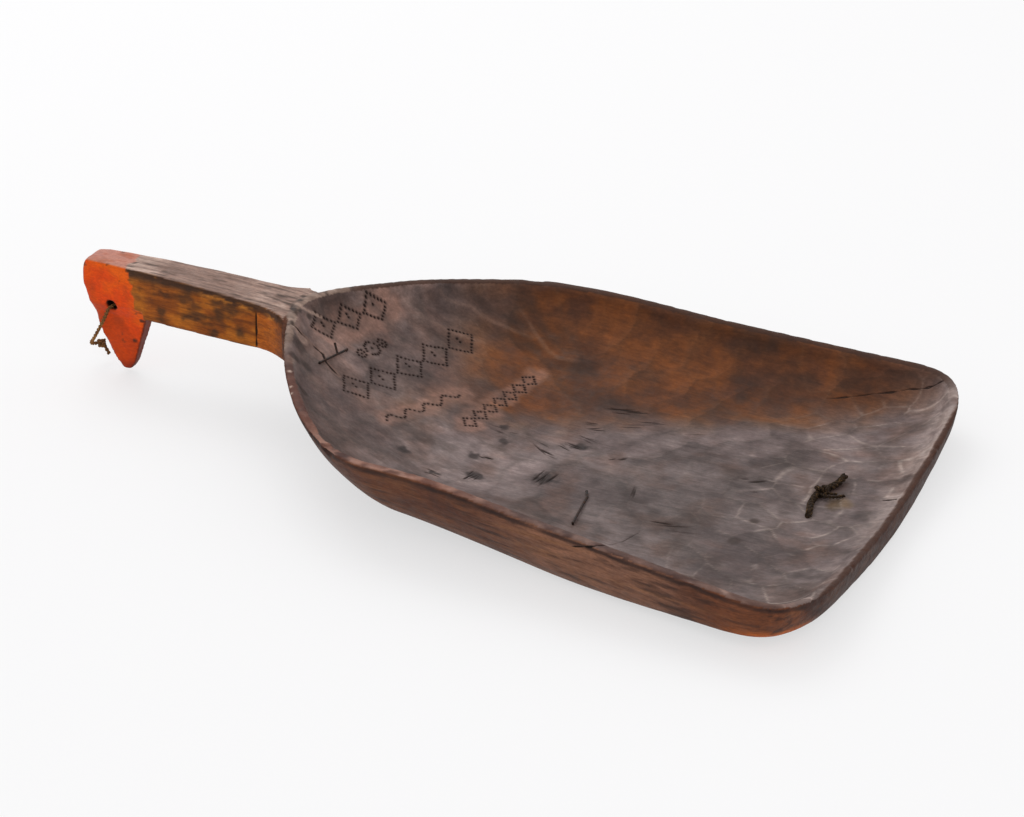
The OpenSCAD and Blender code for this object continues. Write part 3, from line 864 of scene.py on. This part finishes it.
def outside_colours(p, normal, rim_drop, fields, grain):
    """Outer wall, lip face and underside, with a painted shadow under the near rim."""
    x, y, z = p.T
    patch, small, _, _ = fields
    side = mix((84, 48, 34), (112, 68, 44), ease(-0.6, 0.6, patch + 0.5 * small))
    side = blend(side,
        ((150, 108, 86), 0.75 * ease(40, 140, x) * ease(250, 200, x)),
        ((122, 70, 42), 0.7 * ease(215, 262, x)),
        ((48, 29, 23), 0.6 * ease(0.1, 0.8, grain + 0.3 * small)),
        ((140, 94, 60), 0.4 * ease(0.2, 0.9, clouds(p, (60, 20, 6), 37))))
    # Painted shadow: a thin dark band just under the near rim's outer edge.
    rim_undercut_shadow = ease(6, 3.5, rim_drop + small) * ease(1.0, 2.2, rim_drop) * ease(-60, -90, y)
    face = ease(LIP_X - 12, LIP_X - 6, x) * ease(0.2, 0.6, normal[:, 0])
    corner = ease(46, 10, np.hypot(x - 284, (y + 162) * 1.2)) * ease(19, 12, z + 2 * small)
    side = blend(side,
        ((44, 26, 22), 0.75 * rim_undercut_shadow * ease(-0.9, 0.1, clouds(p, (30, 9, 9), 38))),
        ((56, 25, 12), 0.92 * face),
        ((92, 58, 38), 0.45 * face * ease(0, 0.6, clouds(p, (9, 14, 5), 39))),
        ((206, 106, 36), 0.92 * corner))
    under = mix((78, 56, 45), (104, 78, 60), ease(-0.6, 0.6, patch))
    under = blend(under, ((48, 34, 29), 0.5 * ease(0.2, 0.8, grain)))
    return side, under


def band_colours(p, top, fields):
    """Rim band: worn pink on the near side, dark brown on the far side, grey at the back."""
    x, y, _ = p.T
    _, small, fine, speck = fields
    band = blend(top,
        ((62, 40, 31), 0.8 * ease(10, 60, y) * ease(300, 280, x)),
        ((58, 30, 18), 0.88 * ease(LIP_X - 5.4, LIP_X - 3.6, x + 0.7 * speck)))
    pink = mix((104, 66, 54), (152, 113, 98), ease(-0.5, 0.5, small))
    pink = blend(pink, ((66, 38, 32), ease(-0.1, 0.5, clouds(p, (13, 9, 9), 35))))
    near = ease(-50, -84, y) * ease(300, 285, x)
    wide = ease(120, 50, x)
    narrow = ease(-40, -80, x)
    band = mix(band, blend(pink, ((80, 46, 38), 0.7 * narrow)), near * (0.45 + 0.5 * wide))
    back = ease(-112, -122, x)
    old = mix((112, 92, 82), (150, 128, 116), ease(-0.5, 0.5, small + 0.4 * fine))
    band = mix(band, blend(old, ((58, 44, 38), ease(0.1, 0.6, clouds(p, (9, 7, 7), 36)))), back)
    for at in FLECKS:
        spot = ease(1.7, 0.7, np.linalg.norm(p - at, axis=1) + 0.8 * speck)
        band = blend(band, ((196, 178, 166), 0.8 * spot))
    return band


def handle_colours(p, normal, fields, grain):
    """Grey weathered top, a dark band just under the top corners, ochre crust on the flanks, and
    painted shade at the root and on downward faces.
    """
    x, _, z = p.T
    patch, small, _, speck = fields
    up = ease(0.6, 0.88, normal[:, 2])
    weathered = mix((154, 126, 114), (194, 167, 154), ease(-0.5, 0.6, patch + 0.6 * small))
    dashes = clouds(p, (15, 2.2, 2.2), 41, 2)
    weathered = blend(weathered, ((82, 64, 56), 0.8 * ease(0.3, 0.62, dashes + 0.25 * grain)))
    crust = mix((146, 76, 18), (182, 104, 24), ease(-0.6, 0.6, small + 0.5 * patch))
    crust = blend(crust,
        ((80, 48, 24), 0.8 * ease(0.0, 0.7, clouds(p, (12, 8, 7), 43))),
        ((188, 116, 40), 0.7 * ease(0.4, 0.85, clouds(p, (8, 6, 5), 44))))
    for (u, w), size in CRUST_STAINS:
        spot = ease(size, size * 0.3, np.hypot(x - u, z - w) + 3.2 * small + 1.6 * speck)
        crust = blend(crust, ((50, 34, 24), 0.6 * spot))
    root = ease(SCRIBE_X - 1, SCRIBE_X, x)
    # Smooth orange crust past the scribe line, with painted shade where the handle flares into the
    # bowl.
    crust = blend(crust,
        ((190, 100, 24), 0.75 * root * (1 - 0.3 * ease(0, 0.6, small))),
        ((84, 42, 22), 0.4 * root * ease(-146, -137, x)))
    drop = np.interp(x, [BUTT_X, -190, BACK_X], [GRIP_TOP_Z, GRIP_TOP_Z - 1, ROOT_TOP_Z]) - z
    corner = (1 - up) * ease(9, 3.5, drop + 1.2 * small)
    stick = mix(crust, weathered, up)
    stick = blend(stick, ((64, 42, 30), 0.85 * corner))
    below = (1 - up) * ease(3.2, 4.4, drop) * ease(9, 6.5, drop)
    along_edge = ease(-209, -204, x) * ease(SCRIBE_X - 1, SCRIBE_X - 5, x)
    along_edge += ease(SCRIBE_X + 1, SCRIBE_X + 4, x) * ease(-133, -138, x)
    chips = below * along_edge * ease(-0.25, 0.2, clouds(p, (9, 5, 3), 46))
    stick = blend(stick,
        ((206, 130, 46), 0.9 * chips),
        ((206, 130, 46), 0.7 * (1 - up) * ease(2.5, 1, drop) *
         ease(-246, -242, x) * ease(-226, -230, x) * ease(0, 0.4, small)),
        # Painted shade on the handle's downward faces.
        ((76, 52, 36), 0.6 * ease(-0.5, -0.9, normal[:, 2])))
    return stick, up


def paint_colours(p, normal, up, fields):
    """Orange paint of the hook, with painted shade on its lower slanted face and its inner face, a
    pinkish-grey top that is part weathering and part painted sheen, and how far it covers.
    """
    x, _, z = p.T
    patch, small, _, speck = fields
    edge_x = np.interp(z, PAINT_EDGE_Z, PAINT_EDGE_X)
    wander = 2.1 * noise(p, (4.5, 6, 4.5), 51) + 0.9 * noise(p, 1.8, 52)
    cover = ease(0.5, -0.5, x - edge_x + wander)
    paint = mix((216, 68, 0), (226, 92, 0), ease(-0.5, 0.5, patch + 0.6 * small))
    # Painted shade on the hook's lower slanted face, below the crease.
    facet = ease(-1, 1.6, off_plane((-270, 33), (-286, 52), x, z) + 1.4 * small)
    facet *= ease(60, 54, z)
    paint = blend(paint,
        ((192, 62, 0), 0.85 * facet),
        ((118, 34, 16), 0.7 * ease(13, 3, z + 3 * small)),
        # Pinkish-grey on upward faces: weathered paint, with a painted sheen.
        ((182, 132, 124), 0.9 * up))
    # inner_edge: painted shade on the hook's inner face, toward the bowl.
    inner_edge = ease(0.3, 0.7, normal[:, 0]) * ease(54, 48, z)
    back_edge = ease(-0.35, -0.75, normal[:, 0]) * (1 - up)
    paint = blend(paint,
        ((86, 32, 20), 0.8 * inner_edge),
        ((140, 46, 20), 0.6 * back_edge),
        ((84, 44, 26), 0.6 * ease(0.5, 0.75, clouds(p, (5, 5, 5), 53))),
        ((150, 58, 20), 0.35 * ease(0.1, 0.7, clouds(p, (10, 6, 14), 54))))
    for u, w in PAINT_DABS:
        spot = ease(2.4, 1.2, np.hypot(x - u, (z - w) * 1.3) + speck)
        paint = blend(paint, ((58, 32, 22), 0.8 * spot))
    return paint, cover


def paint_points(mesh, p, normal, kind, place, hollow, rise, ridge, cell, cut, off):
    """Worn colours by region, with painted light and shade in places, written as the point colour
    'tone' and the floats beside it.
    """
    x, _, z = p.T
    n = len(p)
    grain = clouds(p, (70, 3.2, 3.2), 21)
    fields = (clouds(p, (44, 34, 30), 23), clouds(p, (13, 11, 10), 24),
              clouds(p, (24, 1.6, 1.6), 22, 2), noise(p, 3.0, 25))
    rim_drop = along(RIM_Z, place * (len(RIM_Z) - 1)) - z
    top = hollow_colours(p, rise, ridge, cell, fields)
    side, under = outside_colours(p, normal, rim_drop, fields, grain)
    band = band_colours(p, top, fields)
    stick, up = handle_colours(p, normal, fields, grain)
    paint, cover = paint_colours(p, normal, up, fields)
    stick = mix(stick, paint, cover)
    bore = np.hypot(x - BUTT_X - HOLE_IN, z - HOLE_Z)
    # Painted shade inside the bore, reaching just past its mouth.
    stick = blend(stick, ((24, 14, 10), 0.95 * ease(HOLE_D / 2 + 0.9, HOLE_D / 2 + 0.1, bore)))

    rows = np.zeros((n, 3))
    for which, colour in ((UNDER, under), (OUTER, side), (BAND, band), (HANDLE, stick)):
        rows[kind == which] = colour[kind == which]
    rows[kind == HOLLOW] = side[kind == HOLLOW]
    rows[hollow] = top[hollow]

    # Darker in the cracks, nicks and punched dots; the same share roughens the wood.
    in_cut = ease(0.12, 0.6, cut)
    rows = blend(rows, ((30, 21, 18), 0.88 * in_cut))
    crack_d, _ = off_line(p, BACK_CRACK)
    rows = blend(rows,
        ((142, 112, 98), 0.35 * hollow * ease(2.6, 1.2, crack_d) * (1 - in_cut)),
        ((52, 39, 35), 0.42 * hollow * ease(2.0, 0.9, off)))
    # Painted highlight along the root ridge.
    root_d, _ = off_line(p, ROOT_RIDGE)
    rows = blend(rows, ((176, 150, 136), 0.7 * ease(2.0, 0.8, root_d + 0.5 * fields[3])))
    # Painted shade in the hollows beside the root ridge.
    for at, size in ROOT_DARKS:
        spot = ease(size, size * 0.4, np.linalg.norm(p - at, axis=1) + 0.8 * fields[3])
        rows = blend(rows, ((38, 28, 24), 0.6 * spot))

    colour = np.c_[linear(np.clip(rows, 0, 255)), np.ones(n)]
    tone = mesh.attributes.new("tone", "FLOAT_COLOR", "POINT")
    tone.data.foreach_set("color", colour.astype(np.float32).ravel())
    grainy = np.choose(kind, [0.6, 0.9, 0.15, 0.34, 1.0])
    painted = cover * (kind == HANDLE)
    for name, values in (("painted", painted), ("in_cut", in_cut), ("grainy", grainy)):
        layer = mesh.attributes.new(name, "FLOAT", "POINT")
        layer.data.foreach_set("value", values.astype(np.float32))


# ---- materials
class Shader:
    """A material or world with short calls for its nodes and links."""

    def __init__(self, name, kind="materials", surface="Principled BSDF"):
        self.material = getattr(bpy.data, kind).new(name)
        self.material.use_nodes = True
        self.tree = self.material.node_tree
        self.surface = self.tree.nodes[surface]

    def node(self, kind, inputs=None, **settings):
        made = self.tree.nodes.new(kind)
        for key, value in settings.items():
            setattr(made, key, value)
        for key, value in (inputs or {}).items():
            if isinstance(value, bpy.types.NodeSocket):
                self.tree.links.new(value, made.inputs[key])
            else:
                made.inputs[key].default_value = value
        return made

    def link(self, source, name):
        self.tree.links.new(source, self.surface.inputs[name])

    def noise(self, coords, scale, stretch=(1, 1, 1), detail=6, rough=0.6):
        place = self.node("ShaderNodeMapping", {"Vector": coords, "Scale": stretch})
        made = self.node("ShaderNodeTexNoise", {
            "Vector": place.outputs[0], "Scale": scale, "Detail": detail, "Roughness": rough})
        return made.outputs["Fac"]

    def ramp(self, value, low, high, out_low, out_high):
        made = self.node("ShaderNodeMapRange", {
            "Value": value, "From Min": low, "From Max": high,
            "To Min": out_low, "To Max": out_high})
        return made.outputs["Result"]

    def math(self, kind, a, b):
        return self.node("ShaderNodeMath", {0: a, 1: b}, operation=kind).outputs[0]

    def mixed(self, share, a, b, blend="MIX"):
        made = self.node("ShaderNodeMix", data_type="RGBA", blend_type=blend)
        for socket, value in ((made.inputs[0], share), (made.inputs[6], a), (made.inputs[7], b)):
            if isinstance(value, bpy.types.NodeSocket):
                self.tree.links.new(value, socket)
            else:
                socket.default_value = value
        return made.outputs[2]

    def bump(self, height, strength, distance):
        made = self.node("ShaderNodeBump", {
            "Height": height, "Strength": strength, "Distance": distance})
        self.link(made.outputs[0], "Normal")

    def background_rays(self):
        """1 for the rays that see the background, and 0 for those that light the object."""
        rays = self.node("ShaderNodeLightPath").outputs
        seen = self.math("MAXIMUM", rays["Is Camera Ray"], rays["Is Glossy Ray"])
        return self.math("MAXIMUM", seen, rays["Is Transmission Ray"])


def rgba(rgb):
    return (*linear(rgb).tolist(), 1.0)


def wood_material():
    s = Shader("old_wood")
    coords = s.node("ShaderNodeTexCoord").outputs["Object"]
    tone = s.node("ShaderNodeAttribute", attribute_name="tone").outputs["Color"]
    painted, in_cut, grainy = (
        s.node("ShaderNodeAttribute", attribute_name=name).outputs["Fac"]
        for name in ("painted", "in_cut", "grainy"))
    streaks = s.noise(coords, 260, (0.09, 1, 1), 7, 0.65)
    pores = s.noise(coords, 900, (0.12, 1, 1), 3, 0.6)
    mottle = s.noise(coords, 190, (1, 1, 1), 6, 0.62)
    dust = s.noise(coords, 640, (0.5, 1, 1), 4, 0.7)
    bare = s.math("SUBTRACT", 1.0, painted)
    shown = s.math("MULTIPLY", grainy, s.ramp(bare, 0, 1, 0.15, 1))
    dark = s.math("MULTIPLY", s.ramp(streaks, 0.35, 0.62, 0.6, 0.0), shown)
    colour = s.mixed(dark, tone, s.mixed(1.0, tone, rgba((120, 104, 98)), "MULTIPLY"))
    colour = s.mixed(s.ramp(mottle, 0.35, 0.7, 0.0, 0.4), colour,
                     s.mixed(1.0, colour, (1.42, 1.38, 1.34, 1), "MULTIPLY"))
    colour = s.mixed(s.math("MULTIPLY", s.ramp(pores, 0.5, 0.75, 0.0, 0.5), shown), colour,
                     s.mixed(1.0, colour, rgba((110, 100, 96)), "MULTIPLY"))
    colour = s.mixed(s.ramp(dust, 0.42, 0.62, 0.3, 0.0), colour,
                     s.mixed(1.0, colour, rgba((168, 160, 156)), "MULTIPLY"))
    s.link(colour, "Base Color")
    rough = s.math("ADD", s.ramp(mottle, 0.3, 0.7, 0.46, 0.66), s.ramp(in_cut, 0, 1, 0, 0.25))
    s.link(rough, "Roughness")
    height = s.math("ADD", s.math("MULTIPLY", streaks, s.ramp(shown, 0, 1, 0.15, 1)),
                    s.math("MULTIPLY", mottle, 0.3))
    s.bump(height, 0.5, 0.0006)
    s.surface.inputs["Specular IOR Level"].default_value = 0.16
    return s.material


def fibre_material(name, grain, dark, light, shown, wear, worn, rough, specular, bump):
    """Two colours by a grain, a third where a second noise is high, and a bump."""
    s = Shader(name)
    coords = s.node("ShaderNodeTexCoord").outputs["Object"]
    fibre, second = s.noise(coords, *grain), s.noise(coords, *wear)
    colour = s.mixed(s.ramp(fibre, *shown, 0, 1), rgba(dark), rgba(light))
    s.link(s.mixed(s.ramp(second, *worn[:2], 0, 0.75), colour, rgba(worn[2])), "Base Color")
    s.link(s.ramp(second if rough[2] else fibre, 0.3, 0.7, *rough[:2]), "Roughness")
    s.surface.inputs["Specular IOR Level"].default_value = specular
    s.bump(fibre, *bump)
    return s.material


def twine_material():
    return fibre_material("tan_twine", (1500, (1, 1, 0.35), 4, 0.7), (76, 48, 24), (164, 118, 68),
                          (0.38, 0.62), (120, (1, 1, 1), 4, 0.6), (0.42, 0.62, (70, 46, 30)),
                          (0.75, 0.95, False), 0.1, (0.7, 0.0003))


def lace_material():
    return fibre_material("dark_lace", (1100, (1, 0.35, 1), 5, 0.7), (26, 18, 12), (74, 54, 34),
                          (0.45, 0.7), (260, (1, 1, 1), 4, 0.6), (0.56, 0.7, (136, 106, 70)),
                          (0.55, 0.85, True), 0.12, (0.6, 0.0004))


def iron_material():
    s = Shader("dark_iron")
    coords = s.node("ShaderNodeTexCoord").outputs["Object"]
    rust = s.noise(coords, 420, (1, 1, 1), 6, 0.65)
    s.link(s.mixed(s.ramp(rust, 0.42, 0.68, 0, 1), rgba((30, 27, 27)), rgba((74, 48, 36))),
           "Base Color")
    s.link(s.ramp(rust, 0.4, 0.65, 0.42, 0.8), "Roughness")
    s.surface.inputs["Metallic"].default_value = 0.6
    s.bump(rust, 0.5, 0.0004)
    return s.material


# ---- cords
def frames_along(line, first_side):
    """Side and up vectors along a line, carried without twist."""
    tangent = unit(np.gradient(line, axis=0))
    side = np.asarray(first_side, float)
    sides = []
    for t in tangent:
        side = side - t * (side @ t)
        side = side / np.linalg.norm(side)
        sides.append(side)
    sides = np.array(sides)
    return sides, np.cross(tangent, sides)


def tube(line, radii, sides_n=8, first_side=(0, 0, 1)):
    """Points and faces of a closed tube round a line."""
    side, up = frames_along(line, first_side)
    a = np.linspace(0, 2 * np.pi, sides_n, endpoint=False)
    radii = np.broadcast_to(radii, len(line))
    rings = (line[:, None] + radii[:, None, None] *
             (side[:, None] * np.cos(a)[:, None] + up[:, None] * np.sin(a)[:, None]))
    return lofted(list(rings), line[0], line[-1])


def gathered(parts):
    """Several point and face lists as one."""
    points, faces, start = [], [], 0
    for p, f in parts:
        points.append(np.asarray(p))
        faces += [[k + start for k in face] for face in f]
        start += len(p)
    return np.concatenate(points), faces


def route_line(route, per_span):
    steps = (len(route) - 1) * per_span
    return np.array([curve_at(route, k / per_span) for k in range(steps + 1)])


def twisted(line, diameter, plies, pitch, first_side=(0, 0, 1), plump=1.0):
    """Strands that wind round a line, each a tube of its own."""
    side, up = frames_along(line, first_side)
    run = np.r_[0, np.cumsum(np.linalg.norm(np.diff(line, axis=0), axis=1))]
    parts = []
    for k in range(plies):
        turn = 2 * np.pi * (run / pitch + k / plies)
        away = diameter * (0.24 if plies == 2 else 0.27)
        strand = line + away * (side * np.cos(turn)[:, None] + up * np.sin(turn)[:, None])
        thick = (diameter / 2 - away) * plump
        parts.append(tube(strand, thick * (1 + 0.08 * np.sin(run * 2.1 + k)), 8, first_side))
    return parts


def shaded_smooth(obj):
    obj.data.polygons.foreach_set("use_smooth", [True] * len(obj.data.polygons))
    obj.data.update()


def make_piece(name, parts, material, body):
    obj = new_object(name, *gathered(parts))
    shaded_smooth(obj)
    obj.data.materials.append(material)
    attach(obj, body)
    return obj


def knot_line(centre, radius, tall, count=90):
    """A trefoil that stands for an overhand knot, round centre."""
    t = np.linspace(0, 2 * np.pi, count)
    x = np.sin(t) + 2 * np.sin(2 * t)
    y = np.cos(t) - 2 * np.cos(2 * t)
    z = -np.sin(3 * t)
    return np.array(centre) + np.c_[x * radius / 3, z * tall, y * radius / 3]


def hang_loop():
    line = route_line(LOOP_ROUTE, 10)
    parts = twisted(line, TWINE_D * 1.12, 2, 6.5, plump=1.15)
    fray = np.random.default_rng(5)
    for _ in range(7):
        tip = line[0] + fray.normal(0, 0.9, 3) * (1, 1, 0.4)
        mid = (tip + line[5]) / 2 + fray.normal(0, 0.4, 3)
        parts.append(tube(route_line([line[9], line[5], mid, tip], 5), 0.16, 5))
    twine = twine_material()
    loop = make_piece("twine_loop", parts, twine, "loop")
    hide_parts("hang_loop")
    dark = knot_line(LOOP_ROUTE[2] - np.array([0.8, 0, 0]), 2.6, 1.7)
    knot_parts = twisted(dark, TWINE_D, 2, 5, plump=1.25)
    knot = make_piece("twine_knot", knot_parts, twine, "loop")


def lip_lacing():
    line = route_line(LACE_ROUTE, 10)
    lace = lace_material()
    parts = twisted(line, LACE_D * 1.2, 3, 11, plump=1.3)
    piece = make_piece("lace_strands", parts, lace, "scoop")
    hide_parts("lip_lacing")
    wrap = knot_line((249.5, 17, 15), 4.2, 1.8)
    curl = route_line([(249, 15, 14.6), (254, 11, 15.4), (259, 13, 14.9), (263, 18, 13.8),
                       (264, 21, 12.9)], 8)
    spur = route_line([(250, 18, 15), (255, 16, 15.2), (260, 18, 14.8)], 8)
    knot_parts = (twisted(wrap, 3.2, 2, 6, plump=1.2) + twisted(curl, 2.4, 2, 5) +
                  twisted(spur, 1.9, 2, 5))
    knot = make_piece("lace_knot", knot_parts, lace, "scoop")


hang_loop()
lip_lacing()


# ---- pieces
def carved_scoop():
    scoop, rings = scoop_base()
    carve(scoop, rings)
    shaded_smooth(scoop)
    scoop.data.materials.clear()
    scoop.data.materials.append(wood_material())
    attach(scoop, "scoop")
    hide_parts("carved_scoop")


def mending_wires():
    iron = iron_material()
    for name in ("back_stitch", "floor_staple"):
        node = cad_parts[name]
        node.data.materials.clear()
        node.data.materials.append(iron)


carved_scoop()
mending_wires()


# ---- stage
FLOOR_HALF, FLOOR_SINK, FLOOR_WHITENING = 6.0, 0.0002, 0.62
WORLD_LEVEL, KEY_POWER, FILL_POWER = 0.84, 15, 7


def pale_floor():
    square = [(x * FLOOR_HALF, y * FLOOR_HALF, 0) for x, y in ((-1, -1), (1, -1), (1, 1), (-1, 1))]
    floor = new_object("floor", square, [[0, 1, 2, 3]], 1.0)
    s = Shader("pale_floor")
    s.surface.inputs["Base Color"].default_value = (0.86, 0.86, 0.87, 1)
    s.surface.inputs["Roughness"].default_value = 0.8
    s.surface.inputs["Specular IOR Level"].default_value = 0.2
    white = s.node("ShaderNodeEmission", {"Color": (0.985, 0.985, 0.99, 1), "Strength": 1.0})
    both = s.node("ShaderNodeMixShader",
                  {0: s.math("MULTIPLY", s.background_rays(), FLOOR_WHITENING)})
    s.tree.links.new(s.surface.outputs[0], both.inputs[1])
    s.tree.links.new(white.outputs[0], both.inputs[2])
    s.tree.links.new(both.outputs[0], s.tree.nodes["Material Output"].inputs["Surface"])
    floor.data.materials.append(s.material)
    floor.location.z = -FLOOR_SINK


def studio_light():
    s = Shader("studio", "worlds", "Background")
    scene.world = s.material
    s.surface.inputs["Color"].default_value = (1, 0.99, 0.985, 1)
    s.link(s.ramp(s.background_rays(), 0, 1, WORLD_LEVEL, 1.0), "Strength")
    soft_lamp("key", (-1.1, 1.0, 1.9), (0, 0, 0), 1.5, KEY_POWER)
    soft_lamp("fill", (1.5, -1.6, 1.6), (0.05, 0, 0), 1.6, FILL_POWER)


def soft_lamp(name, place, target, size, power):
    data = bpy.data.lights.new(name, "AREA")
    data.shape, data.size, data.energy = "SQUARE", size, power
    lamp = bpy.data.objects.new(name, data)
    scene.collection.objects.link(lamp)
    lamp.location = place
    lamp.rotation_euler = (Vector(target) - Vector(place)).to_track_quat("-Z", "Y").to_euler()


pale_floor()
studio_light()

scene.view_settings.view_transform = "Standard"
